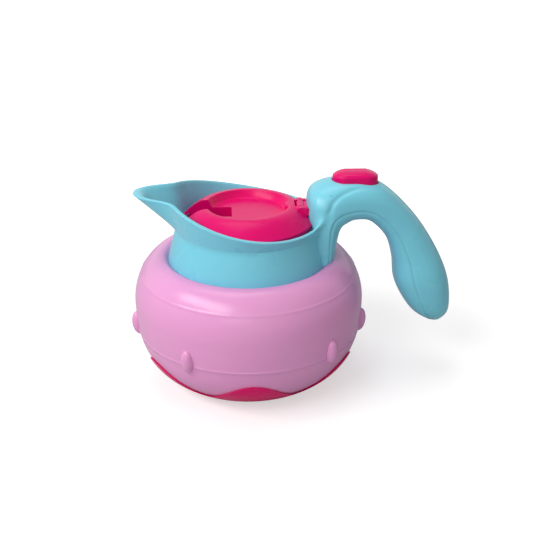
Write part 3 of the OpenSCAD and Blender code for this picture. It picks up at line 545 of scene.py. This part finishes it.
def crease_dent(s, turn):
    """Depth of the crease, which fades out at both ends."""
    if not crease_path[0][0] < s < crease_path[-1][0]:
        return 0.0
    for (s0, t0), (s1, t1) in zip(crease_path, crease_path[1:]):
        if s0 <= s <= s1:
            middle = math.radians(t0 + (t1 - t0) * (s - s0) / (s1 - s0))
    fade = min(1, (s - crease_path[0][0]) / CREASE_START, (crease_path[-1][0] - s) / CREASE_FADE)
    return CREASE_DEEP * fade * math.exp(-((abs(turn) - middle) / CREASE_WIDE) ** 2)


def joint_dent(turn):
    """Depth of the fine hollow along the joint of the handle's two halves."""
    return JOINT_DEEP * math.exp(-((turn - JOINT_TURN) / JOINT_WIDE) ** 2)


def shell_point(s, turn):
    return handle_point(s, turn, joint_dent(abs(turn)) + crease_dent(s, turn))


# Rows are closer together in the head, and the inside of a wall is marked by a turn far past a full one
HEAD_KEY, HEAD_STEPS, GRIP_STEPS, HOLLOW_END, INSIDE = 3, 10, 8, 8, 20.0
head_rows = [i / HEAD_STEPS for i in range(HEAD_KEY * HEAD_STEPS)]
grip_rows = [HEAD_KEY + i / GRIP_STEPS for i in range((last_key - HEAD_KEY) * GRIP_STEPS + 1)]


def handle_half(name, low, high, face, count):
    """One of the handle's two shells: a curved wall between two turns, solid beyond the hollow's end."""
    arc = [low + (high - low) * i / count for i in range(count + 1)]
    piece = start_chain(name, arc + [turn + INSIDE for turn in reversed(arc)])

    def rule(s, code):
        if code < INSIDE / 2:
            return face(s, code)
        turn = code - INSIDE
        if s <= HOLLOW_END:
            return handle_point(s, turn, HANDLE_WALL)
        return handle_point(s, low).lerp(handle_point(s, high), (turn - low) / (high - low))

    sweep(piece, head_rows + grip_rows, rule)
    close_wall()
    return piece


shell = handle_half("handle_outer_shell", -JOINT_TURN, JOINT_TURN, shell_point, count=120)

# The shell stands on the body, and is open for the button on top and for the lid's hinge in front
BUTTON_X, BUTTON_L, BUTTON_W, BUTTON_WELL, FREE_GAP = 50.0, 21.2, 12.0, 5.0, 0.4
PIN_X, PIN_Z, EAR_R, EAR_W, NOSE_W = 24.7, 85.4, 2.4, 2.8, 7.6
WINDOW_HALF, WINDOW_L, WINDOW_LOW, WINDOW_RISE = 7.4, 7.4, 79.0, 1.8
PLUG_R, PLUG_LOW, PLUG_CENTRE_R, PLUG_STEPS, PLUG_COUNT = 50.0, 50.0, 5.0, 12, 96


def body_plug():
    """The top of the body, a little grown, to cut what stands on it."""
    crest = [shoulder_point(math.pi / 2 * i / PLUG_STEPS) for i in range(PLUG_STEPS // 2, PLUG_STEPS + 1)]
    outline = [(PLUG_CENTRE_R, PLUG_LOW), (PLUG_R, PLUG_LOW)] + [(r, z + FIT) for r, z in crest + seat_dip]
    return turned("body_plug", outline + [(PLUG_CENTRE_R, SEAT_Z + FIT)], PLUG_COUNT)


def stadium(length, width, centre, levels, count=64):
    """A tool with round ends along X: each level is a set-in and a height, in mm."""
    piece = start_chain("stadium", [math.tau * i / count for i in range(count)])

    def rule(level, turn):
        inset, z = level
        r = width / 2 - inset
        end = math.copysign((length - width) / 2, math.cos(turn))
        return centre + end + r * math.cos(turn), r * math.sin(turn), z

    sweep(piece, levels, rule)
    close_wall()
    return piece


COVER_SCREWS, MEETING, GRIP_SKIN, GRIP_PILOT = (4.35, 7.6), 0.28, 1.1, 13.4
for s in COVER_SCREWS:
    middle, outwards, half, width = handle_section(s)
    start = middle - outwards * (MEETING * half - FIT)
    shape(shell, rod(BOSS_R, start, outwards, (1 + MEETING) * half - GRIP_SKIN), "UNION")
    shape(shell, rod(PILOT_R, middle - outwards * half, outwards, GRIP_PILOT))
BLOCK_SCREW_X, BLOCK_SCREW_Y, BLOCK_TOP = 37.9, 9.2, 83.72
BLOCK_BOSS_R, BLOCK_BOSS_H, BLOCK_PILOT = 2.1, 11.4, 6.0
for y in (-BLOCK_SCREW_Y, BLOCK_SCREW_Y):
    shape(shell, rod(BLOCK_BOSS_R, (BLOCK_SCREW_X, y, BLOCK_TOP), UPWARDS, BLOCK_BOSS_H), "UNION")
    shape(shell, rod(PILOT_R, (BLOCK_SCREW_X, y, BLOCK_TOP - CUT_BELOW), UPWARDS, CUT_BELOW + BLOCK_PILOT))
shape(shell, body_plug())
shape(shell, stadium(BUTTON_L + 2 * FREE_GAP, BUTTON_W + 2 * FREE_GAP, BUTTON_X,
                     [(0, HANDLE_TOP - BUTTON_L / 2), (0, HANDLE_TOP + BUTTON_WELL)]))
shape(shell, block((PIN_X, -WINDOW_HALF, WINDOW_LOW), (PIN_X + WINDOW_L, WINDOW_HALF, PIN_Z + WINDOW_RISE)))

aqua = moulded_plastic("aqua_plastic", from_screen(122, 206, 224), from_screen(120, 204, 222),
                       polished=0.26, hazy=0.3, glow=0.1, mirror=0.35)
aqua_handle = aqua.copy()
aqua_handle.name = "aqua_handle_plastic"

# The two grow into each other in a soft hollow, so they are joined, smoothed there, and parted again
CORE_COUNT, SPREAD, BASE_KEPT, FOOT_EDGE, FOOT_KEPT = 72, 5, 0.6, 2.0, 9.0
core = start_chain("core", [math.tau * i / CORE_COUNT for i in range(CORE_COUNT)])
sweep(core, head_rows + [HEAD_KEY], lambda s, turn: handle_point(s, turn, HANDLE_WALL / 2))
close_wall()
shape(collar, core)
collar.data.materials.append(aqua)
shell.data.materials.append(aqua_handle)
grow = collar.modifiers.new("grow", "BOOLEAN")
grow.operation, grow.object, grow.solver, grow.material_mode = "UNION", shell, "EXACT", "TRANSFER"
bpy.context.view_layer.objects.active = collar
bpy.ops.object.modifier_apply(modifier=grow.name)
bpy.data.objects.remove(shell)
bpy.ops.object.select_all(action="DESELECT")
collar.select_set(True)
bpy.ops.object.mode_set(mode="EDIT")
bpy.ops.mesh.select_all(action="SELECT")
bpy.ops.mesh.remove_doubles(threshold=0.0001)
bpy.ops.mesh.select_all(action="DESELECT")
mesh = bmesh.from_edit_mesh(collar.data)
for point in mesh.verts:
    if len({face.material_index for face in point.link_faces}) > 1:
        point.select = True
mesh.select_flush_mode()
bmesh.update_edit_mesh(collar.data)
for step in range(SPREAD):
    bpy.ops.mesh.select_more()
mesh = bmesh.from_edit_mesh(collar.data)
for point in mesh.verts:
    edge = point.co.xy.length > (NECK_R + FOOT_EDGE) * MM and point.co.z < (SEAT_Z + FOOT_KEPT) * MM
    if point.co.z < (SHOULDER_Z + BASE_KEPT) * MM or edge:
        point.select = False
mesh.select_flush_mode()
bmesh.update_edit_mesh(collar.data)
bpy.ops.mesh.vertices_smooth(factor=0.5, repeat=25)
bpy.ops.mesh.separate(type="MATERIAL")
bpy.ops.object.mode_set(mode="OBJECT")
for piece in bpy.context.selected_objects:
    face = piece.data.polygons[0]
    if piece.data.materials[face.material_index] == aqua:
        collar = piece
    else:
        shell = piece
shell.name = "handle_outer_shell"
collar.name = "jug_collar"
hand_over(collar, aqua, "pot", ["neck_collar"])
hand_over(shell, aqua_handle, "pot", ["handle_shell"])


# Handle cover. The aqua strip on the fingers' side of the handle, let in along a fine joint and held by
# two screws sunk in round wells. A post inside it carries the button's spring.
JOINT_GAP, TUBE_R, TUBE_IN, WELL_DEPTH, CUT_OUT = math.radians(0.3), 4.1, 3.2, 3.4, 2.0
SPRING_X, SPRING_FOOT, SPRING_R, POST_EDGE, POST_SUNK = 53.0, 84.7, 3.5, 1.0, 1.0
STUB_R, STUB_L = 1.9, 3.0


def cover_point(s, turn):
    return handle_point(s, turn, joint_dent(min(turn, math.tau - turn)))


cover = handle_half("handle_finger_cover", JOINT_TURN + JOINT_GAP, math.tau - JOINT_GAP - JOINT_TURN,
                    cover_point, count=80)
post_foot = ARCH_Z + POST_SUNK
shape(cover, rod(SPRING_R + POST_EDGE, (SPRING_X, 0, post_foot), UPWARDS, SPRING_FOOT - post_foot), "UNION")
shape(cover, rod(STUB_R, (SPRING_X, 0, SPRING_FOOT - POST_SUNK), UPWARDS, STUB_L), "UNION")
shape(cover, body_plug())
for s in COVER_SCREWS:
    middle, outwards, half, width = handle_section(s)
    tube_foot = middle - outwards * (half - TUBE_IN)
    start = middle - outwards * (half + CUT_OUT)
    shape(cover, rod(TUBE_R, tube_foot, outwards, (1 - MEETING) * half - FIT - TUBE_IN), "UNION")
    shape(cover, rod(HEAD_WELL_R, start, outwards, CUT_OUT + WELL_DEPTH))
    shape(cover, rod(SHANK_R, start, outwards, CUT_OUT + half))
hand_over(cover, aqua_handle, "pot", ["handle_cover"])


# Hinge block. A magenta moulding inside the handle's head whose rounded nose comes out through the window
# between the lid's ears; two screws hold it up into the shell. It is the solid of the CAD model.
frame["nodes"]["hinge_block"].data.materials.clear()
frame["nodes"]["hinge_block"].data.materials.append(magenta)


# Lid. One magenta moulding: a sloped skirt up to a crisp round crest, a sunk dish, a deep pouring slot out
# through the front, and at the back a raised border round the hinge nose. It tips on a steel pin.
LID_EDGE_Z, LID_R, LID_T, CREST_R, CREST_Z, SUNK_Z = 81.0, 31.0, 2.0, 20.5, 87.7, 83.8
LID_CENTRE_R, SKIRT_START, SKIRT_DROP, SKIRT_POWER, SKIRT_STEPS = 3.0, 0.5, 0.1, 0.9, 16
POUR_HALF, POUR_END, POUR_WALL, POUR_FOOT, POUR_R = 6.0, -7.5, 1.6, 76.8, 28.8
BORDER_L, BORDER_W, BORDER_X, BORDER_Z, BORDER_FOOT = 24.0, 13.8, 29.2, 87.6, 0.5
HEAD_CURVE_R, HEAD_CURVE_X = 34.0, 61.0
TAIL_BACK, TAIL_REACH, TAIL_HALF = 2.0, 7.0, 1.3
GATE_R, GATE_X, GATE_Y, GATE_SUNK, GATE_PROUD = 0.45, 2.0, -15.8, 0.5, 0.4


def lid_slope(t):
    """The skirt from the crest's outer side to the edge."""
    low = CREST_R + SKIRT_START
    rise = CREST_Z - LID_EDGE_Z - SKIRT_DROP
    return low + (LID_R - low) * t, LID_EDGE_Z + rise * math.cos(math.pi / 2 * t ** SKIRT_POWER)


lid_top = [(LID_CENTRE_R, SUNK_Z), (CREST_R - 3.7, SUNK_Z), (CREST_R - 2.9, SUNK_Z + 0.1),
           (CREST_R - 2.4, SUNK_Z + 0.5), (CREST_R - 1.2, CREST_Z - 0.5), (CREST_R - 1, CREST_Z - 0.15),
           (CREST_R - 0.7, CREST_Z), (CREST_R, CREST_Z)]
lid_top += [lid_slope(i / SKIRT_STEPS) for i in range(SKIRT_STEPS + 1)]
under_z = SUNK_Z - LID_T
lid_under = [(r, z - LID_T) for r, z in reversed(lid_top) if r > CREST_R]
lid_under += [(CREST_R + 0.3, CREST_Z - LID_T - 0.3), (CREST_R - 0.3, under_z + 1),
              (CREST_R - 1.3, under_z + 0.2), (CREST_R - 2.5, under_z), (LID_CENTRE_R, under_z)]
lid = turned("tipping_lid", lid_top + lid_under, count=192)
pour_outline = [(r, z - LID_T / 2) for r, z in lid_top if r < POUR_R]
pour_box = turned("pour_box", [(LID_CENTRE_R, POUR_FOOT)] + pour_outline + [(POUR_R, POUR_FOOT)])
pour_side = POUR_HALF + POUR_WALL
pour_room = block((-LID_R, -pour_side, CUT_LOW), (POUR_END + POUR_WALL, pour_side, CUT_HIGH))
shape(pour_box, pour_room, "INTERSECT")
shape(lid, pour_box, "UNION")
border_levels = [(0, LID_EDGE_Z + BORDER_FOOT), (0, BORDER_Z - 0.7), (0.12, BORDER_Z - 0.35),
                 (0.4, BORDER_Z - 0.1), (0.8, BORDER_Z)]
shape(lid, stadium(BORDER_L, BORDER_W, BORDER_X, border_levels), "UNION")
shape(lid, block((-BEYOND, -POUR_HALF, CUT_LOW), (POUR_END, POUR_HALF, CUT_HIGH)))
nose_side = NOSE_W / 2 + FREE_GAP
shape(lid, block((PIN_X - EAR_R - FREE_GAP, -nose_side, CUT_LOW), (BEYOND, nose_side, CUT_HIGH)))
shape(lid, rod(HEAD_CURVE_R, (HEAD_CURVE_X, 0, CUT_LOW), UPWARDS, CUT_HIGH - CUT_LOW, count=256))
for low in (-nose_side - EAR_W, nose_side):
    shape(lid, block((PIN_X - TAIL_BACK, low, PIN_Z - TAIL_HALF),
                     (PIN_X + TAIL_REACH, low + EAR_W, PIN_Z + TAIL_HALF)), "UNION")
    shape(lid, rod(EAR_R, (PIN_X, low, PIN_Z), (0, 1, 0), EAR_W), "UNION")
shape(lid, rod(GATE_R, (GATE_X, GATE_Y, SUNK_Z - GATE_SUNK), UPWARDS, GATE_SUNK + GATE_PROUD), "UNION")
hand_over(lid, magenta, "lid_body", ["lid"], angle=32)


# Button. A magenta thumb button with upright sides and a softly domed top; a flange keeps it in the handle,
# a stub sits in its spring, and two arms reach forward over the tails of the lid.
BUTTON_TOP, FLANGE_Z, FLANGE_T, FLANGE_W, FLANGE_X = 103.6, 92.6, 1.8, 1.2, 38.2
DOME_Z, DOME_IN, DOME_POWER, DOME_STEPS, DOME_FALL = 100.6, 5.9, 0.8, 13, 1.7
STUB_DROP, PRONG_X, PRONG_HALF, PRONG_Z, ARM_Z, ARM_HALF = 2.2, 30.8, 0.4, 87.0, 88.4, 1.2
button_levels = [(-FLANGE_W, FLANGE_Z), (-FLANGE_W, FLANGE_Z + FLANGE_T), (0, FLANGE_Z + FLANGE_T)]
for i in range(DOME_STEPS):
    t = math.pi / 2 * i / DOME_STEPS
    button_levels.append((DOME_IN * (1 - math.cos(t) ** DOME_POWER),
                          DOME_Z + (BUTTON_TOP - DOME_Z) * math.sin(t) ** DOME_POWER))
button = stadium(BUTTON_L, BUTTON_W, BUTTON_X, button_levels)
button.name = "thumb_button"
for point in button.data.vertices:
    rise = max(0, point.co.z / MM - DOME_Z) / (BUTTON_TOP - DOME_Z)
    point.co.z -= DOME_FALL * MM * rise * ((point.co.x / MM - BUTTON_X) / (BUTTON_L / 2)) ** 2
shape(button, rod(STUB_R, (SPRING_X, 0, FLANGE_Z - STUB_DROP), UPWARDS, STUB_L), "UNION")
arm_outline = [(PRONG_X - PRONG_HALF, PRONG_Z), (PRONG_X + PRONG_HALF, PRONG_Z),
               (PRONG_X + PRONG_HALF, ARM_Z), (FLANGE_X + 1, ARM_Z), (FLANGE_X + 3, FLANGE_Z),
               (FLANGE_X + 4, FLANGE_Z + 1), (FLANGE_X, FLANGE_Z + 1),
               (PRONG_X + 2, ARM_Z + 2), (PRONG_X - PRONG_HALF, ARM_Z)]


def arm_point(y, spot):
    x, z = arm_outline[round(spot)]
    return x, y, z


for side in (-1, 1):
    middle = side * (nose_side + EAR_W / 2)
    arm = start_chain("arm", range(len(arm_outline)))
    sweep(arm, (middle - ARM_HALF, middle + ARM_HALF), arm_point)
    close_wall()
    shape(button, arm, "UNION")
hand_over(button, magenta, "button_body", ["button"], angle=32)


# Button spring. A coil of bright steel wire that stands on a post in the handle and pushes the button up.
WIRE_R, SPRING_TURNS, COIL_STEPS, COIL_GAP, WIRE_COUNT = 0.4, 4, 24, 0.05, 10
SPRING_RISE = FLANGE_Z - SPRING_FOOT - 2 * WIRE_R - 2 * COIL_GAP


def coil_point(step, turn):
    along = math.tau * step / COIL_STEPS
    r = SPRING_R - WIRE_R + WIRE_R * math.cos(turn)
    rise = SPRING_RISE * step / (COIL_STEPS * SPRING_TURNS)
    z = SPRING_FOOT + WIRE_R + COIL_GAP + rise + WIRE_R * math.sin(turn)
    return SPRING_X + r * math.cos(along), r * math.sin(along), z


spring = start_chain("button_coil", [math.tau * i / WIRE_COUNT for i in range(WIRE_COUNT)])
sweep(spring, range(COIL_STEPS * SPRING_TURNS + 1), coil_point)
close_wall()
hand_over(spring, steel, "pot", ["button_spring"], angle=60)
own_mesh(spring)


# Camera, floor and light: the photograph's viewing angle, a plain pale floor that keeps the shadow, and
# broad soft lamps.
CAMERA_TURN, CAMERA_LIFT, CAMERA_FAR = math.radians(-1.21), math.radians(26.29), 0.45
AIM_YAW, AIM_PITCH, AIM_ROLL = math.radians(1.12), math.radians(1.53), math.radians(-0.18)
LENS, SENSOR = 62.23, 36.0
back = Vector((math.sin(CAMERA_TURN) * math.cos(CAMERA_LIFT), -math.cos(CAMERA_TURN) * math.cos(CAMERA_LIFT),
               math.sin(CAMERA_LIFT)))
right = (-back).cross(Vector(UPWARDS)).normalized()
up = right.cross(-back)
look = (-back + math.tan(AIM_YAW) * right + math.tan(AIM_PITCH) * up).normalized()
right = look.cross(Vector(UPWARDS)).normalized()
up = right.cross(look)
rolled_right = math.cos(AIM_ROLL) * right + math.sin(AIM_ROLL) * up
rolled_up = -math.sin(AIM_ROLL) * right + math.cos(AIM_ROLL) * up
bpy.ops.object.camera_add()
camera = bpy.context.object
camera.name = "photo_camera"
camera.data.lens, camera.data.sensor_width = LENS, SENSOR
place = Vector((0, 0, BELLY_Z * MM)) + back * CAMERA_FAR
facing = Matrix((rolled_right, rolled_up, -look)).transposed().to_4x4()
camera.matrix_world = Matrix.Translation(place) @ facing
bpy.context.scene.camera = camera

FLOOR_R, FLOOR_Z = 3, -0.0001
bpy.ops.object.select_all(action="DESELECT")
bpy.ops.mesh.primitive_circle_add(vertices=64, radius=FLOOR_R, fill_type="NGON", location=(0, 0, FLOOR_Z))
floor = bpy.context.object
floor.name = "pale_floor"
floor_paint = bpy.data.materials.new("pale_floor_paint")
floor_paint.use_nodes = True
floor_tree = floor_paint.node_tree
floor_shader = floor_tree.nodes["Principled BSDF"]
floor_shader.inputs["Base Color"].default_value = (0.6, 0.6, 0.6, 1)
floor_shader.inputs["Roughness"].default_value = 0.9
floor_shader.inputs["Specular IOR Level"].default_value = 0.0
floor_ray = floor_tree.nodes.new("ShaderNodeLightPath")
floor_shader.inputs["Emission Color"].default_value = (1, 1, 1, 1)
floor_place = floor_tree.nodes.new("ShaderNodeTexCoord")
floor_far = floor_tree.nodes.new("ShaderNodeVectorMath")
floor_far.operation = "LENGTH"
floor_fade = floor_tree.nodes.new("ShaderNodeMapRange")
for name, number in (("From Min", 0.1), ("From Max", 0.35), ("To Min", 0.55), ("To Max", 1.0)):
    floor_fade.inputs[name].default_value = number
floor_tree.links.new(floor_place.outputs["Object"], floor_far.inputs[0])
floor_tree.links.new(floor_far.outputs["Value"], floor_fade.inputs["Value"])
floor_lift = floor_tree.nodes.new("ShaderNodeMath")
floor_lift.operation = "MULTIPLY"
floor_tree.links.new(floor_fade.outputs["Result"], floor_lift.inputs[1])
floor_tree.links.new(floor_ray.outputs["Is Camera Ray"], floor_lift.inputs[0])
floor_tree.links.new(floor_lift.outputs["Value"], floor_shader.inputs["Emission Strength"])
floor.data.materials.append(floor_paint)

world = bpy.data.worlds.new("white_studio")
bpy.context.scene.world = world
world.use_nodes = True
sky = world.node_tree.nodes["Background"]
sky.inputs["Color"].default_value = (1, 1, 1, 1)
sky_ray = world.node_tree.nodes.new("ShaderNodeLightPath")
seen = world.node_tree.nodes.new("ShaderNodeMath")
seen.operation = "MAXIMUM"
mirrored = world.node_tree.nodes.new("ShaderNodeMath")
mirrored.operation = "MAXIMUM"
sky_strength = world.node_tree.nodes.new("ShaderNodeMapRange")
sky_strength.inputs["To Min"].default_value = 0.3
sky_strength.inputs["To Max"].default_value = 1.0
world.node_tree.links.new(sky_ray.outputs["Is Camera Ray"], seen.inputs[0])
world.node_tree.links.new(sky_ray.outputs["Is Transmission Ray"], seen.inputs[1])
world.node_tree.links.new(seen.outputs["Value"], mirrored.inputs[0])
world.node_tree.links.new(sky_ray.outputs["Is Glossy Ray"], mirrored.inputs[1])
world.node_tree.links.new(mirrored.outputs["Value"], sky_strength.inputs["Value"])
world.node_tree.links.new(sky_strength.outputs["Result"], sky.inputs["Strength"])

LAMP_TARGET = Vector((0, 0, 0.05))


def lamp(name, place, width, height, power):
    bpy.ops.object.light_add(type="AREA", location=place)
    light = bpy.context.object
    light.name = name
    light.data.shape = "RECTANGLE"
    light.data.size, light.data.size_y, light.data.energy = width, height, power
    light.rotation_euler = (LAMP_TARGET - Vector(place)).to_track_quat("-Z", "Y").to_euler()


lamp("key_window", (-0.6, -0.42, 0.72), width=0.9, height=0.32, power=7.0)
lamp("front_fill", (-0.2, -0.9, 0.5), width=0.4, height=0.4, power=0.9)
lamp("top_panel", (-0.1, 0.15, 0.9), width=0.5, height=0.5, power=2.0)

bpy.context.scene.view_settings.view_transform = "Standard"
